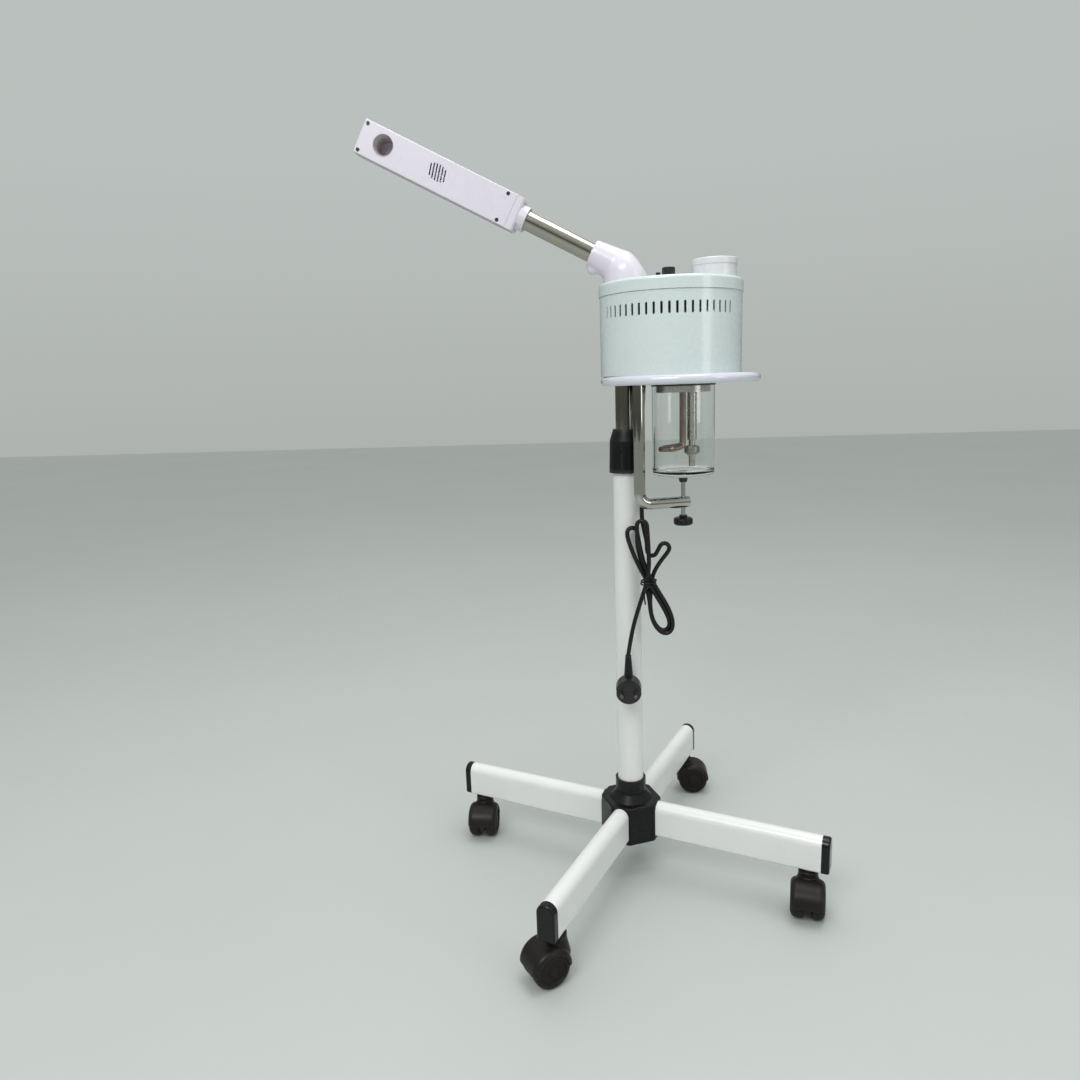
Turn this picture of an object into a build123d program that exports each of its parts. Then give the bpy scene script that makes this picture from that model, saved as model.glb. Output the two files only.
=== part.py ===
from build123d import *
import math
import os

# Facial steamer on a rolling stand.
# Lengths are millimetres and angles are degrees.
# The floor is Z = 0, +Z is up, and the column's axis is X = Y = 0.
# Levels are measured from a datum plane below the floor; sub_parts() moves everything down by it.
# -Y is the side that the vents and the nozzle face, and the arm points towards -X.

DATUM = 11.0

# ---- rolling base ----
LEG_COUNT = 4
FIRST_LEG_ANGLE = -21.4
LEG_WIDTH = 25.0
LEG_HEIGHT = 50.0
LEG_WALL = 1.5
LEG_CORNER = 3.0
LEG_BOTTOM = 76.0
LEG_START = 43.0
LEG_END = 280.0
CAP_THICKNESS = 11.0
HUB_BOTTOM = 68.0
HUB_CORNER = 8.0
HUB_BODY_TOP = 127.6
HUB_COLLAR_DIAMETER = 45.0
HUB_COLLAR_TOP = 159.0
SOCKET_RIM = 1.6
SPIGOT_END = 78.0

# ---- casters ----
STEM_RADIUS_FROM_COLUMN = 262.0
STEM_DIAMETER = 8.0
CASTER_YAWS = (-102.0, 0.0, -90.0, -145.0)
WHEEL_RADIUS = 25.0
AXLE_LEVEL = DATUM + WHEEL_RADIUS
WHEEL_INNER_FACE = 5.2
WHEEL_OUTER_FACE = 23.2
CASTER_TRAIL = 16.0
AXLE_DIAMETER = 6.0
HOOD_GAP = 0.7
HOOD_RADIUS = 28.0
WEB_HALF_WIDTH = 4.7
RUNNING_GAP = 0.08
MOVING_GAP = 0.3

# ---- column ----
COLUMN_DIAMETER = 38.0
COLUMN_WALL = 1.5
COLUMN_FOOT = 84.0
COLUMN_TOP = 650.0
COLLAR_BOTTOM = 620.0
COLLAR_SHOULDER = 664.0
COLLAR_TOP = 680.0
MAST_DIAMETER = 28.0
MAST_WALL = 1.5
MAST_FOOT = 262.0
MAST_TOP = 795.0

# ---- head ----
PLATE_CENTRE = (73.0, -12.9)
PLATE_DIAMETER = 212.0
PLATE_BOTTOM = 739.0
PLATE_TOP = 751.2
SHELL_CENTRE = (61.0, -10.8)
SHELL_DIAMETER = 187.0
SHELL_WALL = 1.3
SHELL_TOP = 853.6
LID_DIAMETER = 189.4
LID_TOP = 870.3
LID_WALL = 1.6
VENT_COUNT = 20
VENT_PITCH = 5.9
VENT_FIRST = -62.7
VENT_WIDTH = 3.0
VENT_HEIGHT = 15.0
VENT_MIDDLE = 832.0

# ---- boiler ----
JAR_CENTRE = (77.8, -13.7)
JAR_DIAMETER = 84.0
JAR_WALL = 3.0
JAR_BOTTOM = 615.8
JAR_TOP = 736.5
FLANGE_FOOT = 728.0
FLANGE_SPIGOT = 73.6
HEATER_DIAMETER = 7.5
HEATER_LEG_X = 77.0
HEATER_LEG_SPREAD = 9.0
PROBE_PLACE = (89.5, -13.7)
FLOAT_BOTTOM = 645.0
FLOAT_HEIGHT = 11.0

# ---- jar clamp ----
ROD_PLACE = (17.5, -34.0)
ROD_DIAMETER = 16.0
ROD_TOP = 758.0
BAR_LEVEL = 578.0
BAR_OVERHANG = 8.0
BEND_RADIUS = 16.0
SCREW_DIAMETER = 6.0

# ---- steam arm ----
ELBOW_PLACE = (3.6, 0.0)
ARM_ROOT_LEVEL = 889.7
ARM_TILT = 28.0
ELBOW_BASE_DIAMETER = 62.0
ELBOW_SPIGOT = 40.0
NECK_END = 52.0
NECK_RADIUS = 18.2
ARM_TUBE_DIAMETER = 25.0
ARM_TUBE_WALL = 1.2
BOX_START = 158.6
BOX_END = 393.0
BOX_HALF_WIDTH = 22.3
BOX_BACK = -16.0
BOX_FRONT = 16.0
BOX_WALL = 2.2
FACE_THICKNESS = 3.0
FACE_START = 170.0
NOZZLE_PLACE = (359.0, 1.5)
NOZZLE_DIAMETER = 28.0
NOZZLE_BORE = 22.0
GRILLE_PLACE = (279.0, 1.5)
ARM_SCREW_PLACES = ((182.6, 18.0), (182.6, -18.0), (388.0, 17.6), (388.0, -17.6))
ARM_SCREW_DIAMETER = 2.8

# ---- lid fittings ----
VALVE_PLACE = (58.0, -28.0)
VALVE_TOP = 887.8
CUP_PLACE = (119.6, 0.0)
CUP_DIAMETER = 52.0
CUP_NECK_TOP = 884.0
CAP_DIAMETER = 60.0
CAP_TOP = 899.0
LID_SCREW_PLACES = ((43.0, -68.0), (40.0, 50.0), (120.0, 50.0))

# ---- switches, on the side that faces +Y ----
SWITCH_SPACING = 34.0
SWITCH_LEVEL = 792.0
SWITCH_FACE = SHELL_CENTRE[1] + SHELL_DIAMETER / 2 + 4.5
SWITCH_TILT = 7.0
PIVOT_DEPTH = 4.5
PIVOT_DIAMETER = 2.4

# ---- cord ----
CORD_DIAMETER = 6.0
GLAND_PLACE = (22.0, -20.0)
GLAND_FOOT = 705.0
PLUG_PLACE = (-1.0, 315.0)
PLUG_DIAMETER = 36.0
PLUG_BACK = -29.0
PLUG_FACE = -56.0
PIN_DIAMETER = 4.8
PIN_ROOT_DIAMETER = 3.6
PIN_LENGTH = 19.0
PIN_SPACING = 19.0
RELIEF_TOP = 364.0
HANK_BACK = -25.0
HANK_FRONT = -42.6
DROP_ROUTE = (
    (22.0, -20.0, 705.0),
    (22.6, -19.0, 672.0),
    (22.4, -18.0, 632.0),
    (21.0, -18.5, 592.0),
    (20.0, -24.0, 558.0),
)
TAIL_ROUTE = (
    (18.5, -37.5, 446.0),
    (10.3, -38.3, 420.0),
    (3.6, -38.4, 393.0),
    (-1.0, -38.0, 364.0),
)
HANK_OUTLINE = (
    (-6.0, 549.0, 9.0),
    (6.0, 560.0, 8.0),
    (30.0, 560.0, 8.0),
    (36.0, 528.0, 6.0),
    (60.0, 530.0, 6.0),
    (41.0, 484.0, 8.0),
    (36.0, 466.0, 8.0),
    (67.0, 430.0, 12.0),
    (66.0, 391.0, 14.0),
    (35.0, 391.0, 12.0),
    (27.0, 446.0, 4.0),
    (14.0, 446.0, 4.0),
    (16.0, 474.0, 8.0),
    (-6.0, 526.0, 9.0),
)

BOTTOM = (Align.CENTER, Align.CENTER, Align.MIN)


# ---------------------------------------------------------------- helpers
def disc(diameter, low, high, place=(0.0, 0.0)):
    """Upright cylinder between two levels."""
    return Pos(place[0], place[1], low) * Cylinder(diameter / 2, high - low, align=BOTTOM)


def ring(outer, inner, low, high, place=(0.0, 0.0)):
    """Upright tube between two levels."""
    return disc(outer, low, high, place) - disc(inner, low - 1, high + 1, place)


def cone(low_diameter, high_diameter, low, high, place=(0.0, 0.0)):
    """Upright cone between two levels."""
    shape = Cone(low_diameter / 2, high_diameter / 2, high - low, align=BOTTOM)
    return Pos(place[0], place[1], low) * shape


def block(low, high):
    """Box between two opposite corners."""
    size = [b - a for a, b in zip(low, high)]
    middle = [(a + b) / 2 for a, b in zip(low, high)]
    return Pos(*middle) * Box(*size)


def loaf(width, height, corner):
    """Leg section: straight sides, a half-round top and small lower corners."""
    straight = height - width / 2
    lower = Pos(0, straight / 2) * Rectangle(width, straight)
    lower = fillet(lower.vertices().group_by(Axis.Y)[0], corner)
    return lower + Pos(0, straight) * Circle(width / 2)


def along_x(section, base, start, end):
    """Section drawn in Y and Z, stood at the level base and extruded along X."""
    face = Plane.YZ.offset(start) * (Pos(0, base) * section)
    return extrude(face, amount=end - start)


def leg_angle(index):
    return FIRST_LEG_ANGLE + index * 360.0 / LEG_COUNT


def stem_place(index):
    angle = math.radians(leg_angle(index))
    return (STEM_RADIUS_FROM_COLUMN * math.cos(angle), STEM_RADIUS_FROM_COLUMN * math.sin(angle))


def round_legs(shape):
    """Four turned copies of a shape that is drawn on the +X leg."""
    return Compound([Rot(0, 0, leg_angle(index)) * shape for index in range(LEG_COUNT)])


def at_caster(index):
    """Frame on a caster's stem axis, with +X along its trail."""
    x, y = stem_place(index)
    return Pos(x, y, 0) * Rot(0, 0, CASTER_YAWS[index])


def arm_frame():
    """Frame on the arm's axis: +X to the tip, +Y out of the face plate, +Z up the face."""
    tilt = math.radians(ARM_TILT)
    along = (-math.cos(tilt), 0, math.sin(tilt))
    up = (math.sin(tilt), 0, math.cos(tilt))
    origin = (ELBOW_PLACE[0], ELBOW_PLACE[1], ARM_ROOT_LEVEL)
    return Plane(origin=origin, x_dir=along, z_dir=up).location


def arm_rod(diameter, start, end):
    """Cylinder along the arm's axis, in the arm's own frame."""
    return Pos(start, 0, 0) * Rot(0, 90, 0) * Cylinder(diameter / 2, end - start, align=BOTTOM)


def face_rod(diameter, back, front, place):
    """Cylinder square to the arm's face plate, in the arm's own frame."""
    shape = Cylinder(diameter / 2, front - back, align=BOTTOM)
    return Pos(place[0], front, place[1]) * Rot(90, 0, 0) * shape


def cord_path(route):
    """Straight runs joined by arcs as large as the runs allow, with the arcs' radii."""
    points = [Vector(*point) for point in route]
    radii = []
    for before, corner, after in zip(points, points[1:], points[2:]):
        turn = (corner - before).get_angle(after - corner)
        shorter = min((corner - before).length, (after - corner).length)
        radii.append(0.45 * shorter / math.tan(math.radians(turn / 2)))
    return FilletPolyline(*points, radius=radii), radii


def cord_tube(route, name):
    """Cord along its route; prints the arcs and compares volume with section times length."""
    path, radii = cord_path(route)
    section = Plane(origin=path @ 0, z_dir=path % 0) * Circle(CORD_DIAMETER / 2)
    tube = sweep(section, path=path)
    expected = math.pi * CORD_DIAMETER ** 2 / 4 * path.length
    print(name, "arc radii", [round(radius, 1) for radius in radii])
    print(name, "length", round(path.length, 1), "volume ratio", round(tube.volume / expected, 4))
    return tube


# ---------------------------------------------------------------- rolling base
def base_hub():
    """Nylon cross that holds the column and the four legs."""
    rim_section = loaf(LEG_WIDTH + 2 * SOCKET_RIM, LEG_HEIGHT + 2 * SOCKET_RIM, LEG_CORNER)
    rim = along_x(rim_section, LEG_BOTTOM - SOCKET_RIM, 5, LEG_START)
    inner = 2 * (LEG_WALL + 0.1)
    spigot_section = loaf(LEG_WIDTH - inner, LEG_HEIGHT - inner, LEG_CORNER - 1)
    spigot = along_x(spigot_section, LEG_BOTTOM + inner / 2, LEG_START - 1, SPIGOT_END)
    corner = LEG_WIDTH / 2 + SOCKET_RIM
    corners = []
    for index in range(LEG_COUNT):
        for side in (-1, 1):
            corners.append(Vector(LEG_START, side * corner, 0).rotate(Axis.Z, leg_angle(index)))
    body = extrude(make_face(Polyline(*corners, close=True)), amount=HUB_BODY_TOP - HUB_BOTTOM)
    body = fillet(body.edges().filter_by(Axis.Z), HUB_CORNER)
    body = fillet(body.edges().group_by(Axis.Z)[0] + body.edges().group_by(Axis.Z)[-1], 3.0)
    hub = Pos(0, 0, HUB_BOTTOM) * body
    hub += cone(66, HUB_COLLAR_DIAMETER, HUB_BODY_TOP - 1, HUB_BODY_TOP + 10)
    hub += disc(HUB_COLLAR_DIAMETER, HUB_BODY_TOP, HUB_COLLAR_TOP)
    for index in range(LEG_COUNT):
        hub += Rot(0, 0, leg_angle(index)) * (rim + spigot)
    return hub - disc(COLUMN_DIAMETER, COLUMN_FOOT, HUB_COLLAR_TOP + 1)


def leg_tube(index):
    """Steel tube leg with a hole underneath for the caster's socket."""
    outer = along_x(loaf(LEG_WIDTH, LEG_HEIGHT, LEG_CORNER), LEG_BOTTOM, LEG_START, LEG_END)
    section = loaf(LEG_WIDTH - 2 * LEG_WALL, LEG_HEIGHT - 2 * LEG_WALL, LEG_CORNER - 1)
    inner = along_x(section, LEG_BOTTOM + LEG_WALL, LEG_START - 1, LEG_END + 1)
    hole = disc(14, LEG_BOTTOM - 1, LEG_BOTTOM + 10, (STEM_RADIUS_FROM_COLUMN, 0))
    return Rot(0, 0, leg_angle(index)) * (outer - inner - hole)


def leg_end_caps():
    """Four push-in end caps."""
    outer = along_x(
        loaf(LEG_WIDTH, LEG_HEIGHT, LEG_CORNER), LEG_BOTTOM, LEG_END, LEG_END + CAP_THICKNESS
    )
    outer = fillet(outer.edges().group_by(Axis.X)[-1], 2.9)
    inner = 2 * LEG_WALL + 0.2
    section = loaf(LEG_WIDTH - inner, LEG_HEIGHT - inner, LEG_CORNER - 1)
    insert = along_x(section, LEG_BOTTOM + inner / 2, LEG_END - 8, LEG_END + 1)
    return round_legs(outer + insert)


def caster_sockets():
    """Four sleeves that line the legs' stem holes."""
    place = (STEM_RADIUS_FROM_COLUMN, 0)
    sleeve = disc(14, LEG_BOTTOM, 118, place) + disc(19, LEG_BOTTOM - 1.2, LEG_BOTTOM, place)
    return round_legs(sleeve - disc(STEM_DIAMETER, LEG_BOTTOM - 2, 117, place))


def caster_stems():
    """Four steel stems, pressed into the sockets, that the housings turn on."""
    place = (STEM_RADIUS_FROM_COLUMN, 0)
    stem = disc(STEM_DIAMETER, 58, 116, place)
    collar = disc(17, LEG_BOTTOM - 2.8, LEG_BOTTOM - 1.2, place)
    return round_legs(stem + collar)


def caster_housing(index):
    """Hood, web and swivel boss between and over two wheels."""
    axle = (CASTER_TRAIL, 0, AXLE_LEVEL)
    width = 2 * (WHEEL_OUTER_FACE + 0.6)
    hood = Pos(*axle) * Rot(90, 0, 0) * Cylinder(HOOD_RADIUS, width)
    hood = fillet(hood.edges(), 3.0)
    hood &= block((-60, -40, AXLE_LEVEL), (60, 40, 90))
    web = Pos(*axle) * Rot(90, 0, 0) * Cylinder(HOOD_RADIUS - 3, 2 * WEB_HALF_WIDTH)
    web &= block((-60, -40, DATUM + 15), (60, 40, 90))
    boss = cone(36, 27, 44, 65) + disc(27, 65, LEG_BOTTOM - 3.1)
    housing = hood + boss
    for side in (-1, 1):
        middle = side * (WEB_HALF_WIDTH + 15)
        space = Cylinder(WHEEL_RADIUS + HOOD_GAP, 30)
        housing -= Pos(CASTER_TRAIL, middle, AXLE_LEVEL) * Rot(90, 0, 0) * space
    housing += web
    housing -= disc(STEM_DIAMETER + 2 * RUNNING_GAP, 57.5, 90)
    bore = Cylinder(AXLE_DIAMETER / 2 + RUNNING_GAP, 40)
    housing -= Pos(*axle) * Rot(90, 0, 0) * bore
    return at_caster(index) * housing


def caster_axle(index):
    """Steel pin that both wheels are pressed onto."""
    pin = Rot(90, 0, 0) * Cylinder(AXLE_DIAMETER / 2, 2 * WHEEL_OUTER_FACE - 6)
    return at_caster(index) * Pos(CASTER_TRAIL, 0, AXLE_LEVEL) * pin


def caster_wheels(index):
    """Two dished wheels on one axle."""
    wheels = []
    thickness = WHEEL_OUTER_FACE - WHEEL_INNER_FACE
    for side in (-1, 1):
        wheel = Cylinder(WHEEL_RADIUS, thickness)
        rims = wheel.edges().filter_by(GeomType.CIRCLE)
        wheel = fillet(rims, 3.5)
        dish = Pos(0, 0, thickness / 2) * Cylinder(17, 5)
        wheel -= dish
        wheel += Pos(0, 0, thickness / 2 - 2.5) * Cylinder(7, 3.5)
        wheel -= Pos(0, 0, -3) * Cylinder(AXLE_DIAMETER / 2, thickness)
        turned = Rot(-90 * side, 0, 0) * wheel
        wheels.append(Pos(0, side * (WHEEL_INNER_FACE + thickness / 2), 0) * turned)
    frame = at_caster(index) * Pos(CASTER_TRAIL, 0, AXLE_LEVEL)
    return Compound([frame * wheel for wheel in wheels])


# ---------------------------------------------------------------- column
def column_tube():
    return ring(COLUMN_DIAMETER, COLUMN_DIAMETER - 2 * COLUMN_WALL, COLUMN_FOOT, COLUMN_TOP)


def column_bush():
    """Plastic guide in the column's mouth that the mast slides in."""
    sleeve = disc(COLUMN_DIAMETER - 2 * COLUMN_WALL, 590, COLUMN_TOP)
    sleeve += disc(COLUMN_DIAMETER - 1, COLUMN_TOP, COLUMN_TOP + 4)
    return sleeve - disc(MAST_DIAMETER + 2 * RUNNING_GAP, 580, COLUMN_TOP + 10)


def lock_collar():
    """Fluted twist collar over the column's mouth."""
    collar = cone(47.6, 45.4, COLLAR_BOTTOM, COLLAR_SHOULDER)
    collar += cone(45.4, 35.6, COLLAR_SHOULDER, COLLAR_TOP)
    flute = Pos(0, 25.0, 0) * disc(4.0, COLLAR_BOTTOM + 6, COLLAR_SHOULDER - 4)
    for step in range(18):
        collar -= Rot(0, 0, step * 20) * flute
    seat = COLUMN_TOP + 4 + MOVING_GAP
    collar -= disc(COLUMN_DIAMETER + 2 * MOVING_GAP, COLLAR_BOTTOM - 1, seat)
    return collar - disc(MAST_DIAMETER + 2 * MOVING_GAP, seat - 1, COLLAR_TOP + 1)


def mast_tube():
    return ring(MAST_DIAMETER, MAST_DIAMETER - 2 * MAST_WALL, MAST_FOOT, MAST_TOP)


# ---------------------------------------------------------------- head
def mast_socket():
    """Closed steel socket, bolted on the base plate, that turns on the mast."""
    socket = disc(50, PLATE_TOP, PLATE_TOP + 4) + disc(40, PLATE_TOP, MAST_TOP + 4)
    return socket - disc(MAST_DIAMETER + 2 * RUNNING_GAP, PLATE_TOP - 1, MAST_TOP + MOVING_GAP)


def head_base_plate():
    """Thick round plate with a full-round edge."""
    plate = disc(PLATE_DIAMETER, PLATE_BOTTOM, PLATE_TOP, PLATE_CENTRE)
    plate = fillet(plate.edges().filter_by(GeomType.CIRCLE), (PLATE_TOP - PLATE_BOTTOM) / 2 - 0.1)
    low = PLATE_BOTTOM - 1
    high = PLATE_TOP + 1
    plate -= disc(MAST_DIAMETER + 2 * MOVING_GAP, low, high)
    plate -= disc(FLANGE_SPIGOT, low, high, JAR_CENTRE)
    plate -= disc(ROD_DIAMETER + 2 * RUNNING_GAP, low, high, ROD_PLACE)
    return plate - disc(8, low, high, GLAND_PLACE)


def vent_slot(angle):
    """Upright slot cutter on the shell's wall; 0 degrees faces -Y."""
    slot = extrude(Plane.XZ * SlotOverall(VENT_HEIGHT, VENT_WIDTH, rotation=90), amount=20, both=True)
    wall = Pos(0, -SHELL_DIAMETER / 2, VENT_MIDDLE) * slot
    return Pos(SHELL_CENTRE[0], SHELL_CENTRE[1], 0) * Rot(0, 0, angle) * wall


def housing_shell():
    """Rolled sheet shell with a row of vents on each side and two switch holes."""
    low = PLATE_TOP + 0.1
    shell = disc(SHELL_DIAMETER, low, SHELL_TOP, SHELL_CENTRE)
    shell -= disc(SHELL_DIAMETER - 2 * SHELL_WALL, low + SHELL_WALL, SHELL_TOP + 1, SHELL_CENTRE)
    shell -= disc(SHELL_DIAMETER - 10, low - 1, low + 2 * SHELL_WALL, SHELL_CENTRE)
    for step in range(VENT_COUNT):
        angle = VENT_FIRST + step * VENT_PITCH
        shell -= vent_slot(angle)
        shell -= vent_slot(180 - angle)
    for side in (-1, 1):
        x = SHELL_CENTRE[0] + side * SWITCH_SPACING / 2
        shell -= block((x - 9, 60, SWITCH_LEVEL - 13), (x + 9, 100, SWITCH_LEVEL + 13))
    return shell


def housing_lid():
    """Pressed lid with a skirt and an inner lip."""
    lid = disc(LID_DIAMETER, SHELL_TOP + 0.2, LID_TOP, SHELL_CENTRE)
    lid = fillet(lid.edges().group_by(Axis.Z)[-1], 4.0)
    inside = disc(LID_DIAMETER - 2 * LID_WALL, SHELL_TOP - 1, LID_TOP - LID_WALL, SHELL_CENTRE)
    lid -= fillet(inside.edges().group_by(Axis.Z)[-1], 2.5)
    lip = SHELL_DIAMETER - 2 * SHELL_WALL - 0.2
    lid += ring(lip, lip - 3, SHELL_TOP - 8, LID_TOP - 1, SHELL_CENTRE)
    low = SHELL_TOP - 10
    high = LID_TOP + 1
    lid -= disc(ELBOW_SPIGOT + 2 * RUNNING_GAP, low, high, ELBOW_PLACE)
    lid -= disc(CUP_DIAMETER, low, high, CUP_PLACE)
    lid -= disc(6 + 2 * RUNNING_GAP, low, high, VALVE_PLACE)
    for place in LID_SCREW_PLACES:
        lid -= disc(3.5, low, high, place)
    return lid


def lid_screws():
    """Three cap screws in the lid."""
    screws = []
    for place in LID_SCREW_PLACES:
        head = disc(6, LID_TOP, LID_TOP + 6.5, place) - disc(3, LID_TOP + 3.5, LID_TOP + 7, place)
        screws.append(head + disc(3.5, LID_TOP - 10, LID_TOP, place))
    return Compound(screws)


def control_panel():
    """Curved plate with two switch frames."""
    centre_x, centre_y = SHELL_CENTRE
    skin = ring(SHELL_DIAMETER + 3.6, SHELL_DIAMETER, SWITCH_LEVEL - 24, SWITCH_LEVEL + 24, SHELL_CENTRE)
    window = block(
        (centre_x - 37, centre_y + 60, SWITCH_LEVEL - 22), (centre_x + 37, centre_y + 99, SWITCH_LEVEL + 22)
    )
    panel = skin & window
    for side in (-1, 1):
        x = centre_x + side * SWITCH_SPACING / 2
        frame = block(
            (x - 8.8, SWITCH_FACE - 18, SWITCH_LEVEL - 12.8), (x + 8.8, SWITCH_FACE, SWITCH_LEVEL + 12.8)
        )
        panel += frame
    for side in (-1, 1):
        x = centre_x + side * SWITCH_SPACING / 2
        panel -= block(
            (x - 6.6, SWITCH_FACE - 15, SWITCH_LEVEL - 10.6), (x + 6.6, SWITCH_FACE + 9, SWITCH_LEVEL + 10.6)
        )
        bore = Rot(0, 90, 0) * Cylinder(PIVOT_DIAMETER / 2 + RUNNING_GAP, 15.2)
        panel -= Pos(x, SWITCH_FACE - PIVOT_DEPTH, SWITCH_LEVEL) * bore
    return panel


def rocker(side):
    """Rocker button, resting in its off position."""
    x = SHELL_CENTRE[0] + side * SWITCH_SPACING / 2
    outline = Polyline((-9.3, -4), (9.3, -4), (9.3, 5.2), (0, 3.6), (-9.3, 5.2), close=True)
    button = extrude(Plane.YZ * make_face(outline), amount=6.2, both=True)
    button = Rot(90, 0, 0) * button
    button = Rot(SWITCH_TILT, 0, 0) * button
    button += Rot(0, 90, 0) * Cylinder(PIVOT_DIAMETER / 2, 14.8)
    return Pos(x, SWITCH_FACE - PIVOT_DEPTH, SWITCH_LEVEL) * button


def circuit_board():
    """Board on edge with a transformer, two relays and a terminal block."""
    board = block((40, 44, 765), (118, 46, 822))
    board += block((48, 30, 770), (78, 44.5, 796))
    for step in range(2):
        board += block((84 + 16 * step, 34, 772), (97 + 16 * step, 44.5, 790))
    return board + block((50, 36, 804), (100, 44.5, 814))


def steam_hose():
    """Silicone hose from the boiler up to the elbow."""
    path = FilletPolyline(
        (58, -13.7, 757.2), (58, -13.7, 802), (ELBOW_PLACE[0], 0, 830), (ELBOW_PLACE[0], 0, 855.6), radius=14
    )
    section = Plane(origin=path @ 0, z_dir=path % 0) * (Circle(11) - Circle(9))
    return sweep(section, path=path)


# ---------------------------------------------------------------- boiler
def boiler_flange():
    """Stainless head of the boiler, clamped over the base plate's opening."""
    flange = disc(92, PLATE_TOP, PLATE_TOP + 3, JAR_CENTRE)
    flange += disc(FLANGE_SPIGOT, FLANGE_FOOT, PLATE_TOP, JAR_CENTRE)
    flange += disc(20, PLATE_TOP, PLATE_TOP + 6, (58, -13.7))
    flange -= disc(14, FLANGE_FOOT - 1, PLATE_TOP + 8, (58, -13.7))
    for side in (-1, 1):
        leg = (HEATER_LEG_X, JAR_CENTRE[1] + side * HEATER_LEG_SPREAD)
        flange -= disc(HEATER_DIAMETER, FLANGE_FOOT - 1, PLATE_TOP + 8, leg)
    return flange - disc(13.5, FLANGE_FOOT - 1, PLATE_TOP + 8, PROBE_PLACE)


def jar_gasket():
    return ring(JAR_DIAMETER + 2, FLANGE_SPIGOT + 0.4, JAR_TOP, PLATE_BOTTOM, JAR_CENTRE)


def glass_jar():
    """Straight glass jar with a thick bottom and a beaded rim."""
    jar = disc(JAR_DIAMETER, JAR_BOTTOM, JAR_TOP, JAR_CENTRE)
    jar = fillet(jar.edges().group_by(Axis.Z)[0], 5.0)
    hollow = disc(JAR_DIAMETER - 2 * JAR_WALL, JAR_BOTTOM + 7, JAR_TOP + 5, JAR_CENTRE)
    return jar - fillet(hollow.edges().group_by(Axis.Z)[0], 4.0)


def heating_element():
    """Sheathed heater: two legs and one flat loop."""
    low_y = JAR_CENTRE[1] - HEATER_LEG_SPREAD
    high_y = JAR_CENTRE[1] + HEATER_LEG_SPREAD
    path = FilletPolyline(
        (HEATER_LEG_X, low_y, 762),
        (HEATER_LEG_X, low_y, 656),
        (64, JAR_CENTRE[1] - 19, 653),
        (48, JAR_CENTRE[1] - 9, 652),
        (48, JAR_CENTRE[1] + 9, 652),
        (64, JAR_CENTRE[1] + 19, 653),
        (HEATER_LEG_X, high_y, 656),
        (HEATER_LEG_X, high_y, 762),
        radius=6.5,
    )
    section = Plane(origin=path @ 0, z_dir=path % 0) * Circle(HEATER_DIAMETER / 2)
    return sweep(section, path=path)


def level_probe():
    """Probe tube with a thinner rod and a clip that the float rests on."""
    probe = disc(13.5, 664, 760, PROBE_PLACE) + disc(9, 628, 664, PROBE_PLACE)
    return probe + disc(14, FLOAT_BOTTOM - 1.8, FLOAT_BOTTOM, PROBE_PLACE)


def level_float():
    lift = 0.02
    body = ring(21, 9 + 2 * MOVING_GAP, FLOAT_BOTTOM + lift, FLOAT_BOTTOM + FLOAT_HEIGHT, PROBE_PLACE)
    return fillet(body.edges().filter_by(GeomType.CIRCLE).sort_by(SortBy.RADIUS)[-2:], 2.0)


# ---------------------------------------------------------------- jar clamp
def bar_direction():
    x = JAR_CENTRE[0] - ROD_PLACE[0]
    y = JAR_CENTRE[1] - ROD_PLACE[1]
    reach = math.hypot(x, y)
    return x / reach, y / reach, reach


def clamp_bracket():
    """Bent bar that hangs in the base plate and carries the clamp screw."""
    x, y, reach = bar_direction()
    end = (ROD_PLACE[0] + x * (reach + BAR_OVERHANG), ROD_PLACE[1] + y * (reach + BAR_OVERHANG))
    path = FilletPolyline(
        (*ROD_PLACE, ROD_TOP), (*ROD_PLACE, BAR_LEVEL), (*end, BAR_LEVEL), radius=BEND_RADIUS
    )
    section = Plane(origin=path @ 0, z_dir=path % 0) * Circle(ROD_DIAMETER / 2)
    bracket = sweep(section, path=path)
    bracket += disc(25, PLATE_TOP + MOVING_GAP, PLATE_TOP + 3.3, ROD_PLACE)
    return bracket - disc(SCREW_DIAMETER + 2 * RUNNING_GAP, BAR_LEVEL - 20, BAR_LEVEL + 20, JAR_CENTRE)


def clamp_pad():
    """Rubber-faced pad that bears on the jar's bottom."""
    pad = cone(10, 15, 606, JAR_BOTTOM - MOVING_GAP, JAR_CENTRE)
    return pad - disc(SCREW_DIAMETER + 2 * RUNNING_GAP, 600, 611.2, JAR_CENTRE)


def clamp_screw():
    return disc(SCREW_DIAMETER, 550, 611, JAR_CENTRE)


def clamp_knob():
    """Round knob on the foot of the clamp screw."""
    knob = disc(26.5, 546, 556.5, JAR_CENTRE)
    knob = fillet(knob.edges().filter_by(GeomType.CIRCLE), 3.5)
    knob += disc(11, 556, 560, JAR_CENTRE)
    for step in range(12):
        angle = math.radians(30 * step)
        place = (JAR_CENTRE[0] + 14.4 * math.cos(angle), JAR_CENTRE[1] + 14.4 * math.sin(angle))
        knob -= disc(4, 540, 558, place)
    return knob - disc(SCREW_DIAMETER, 550, 570, JAR_CENTRE)


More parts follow.
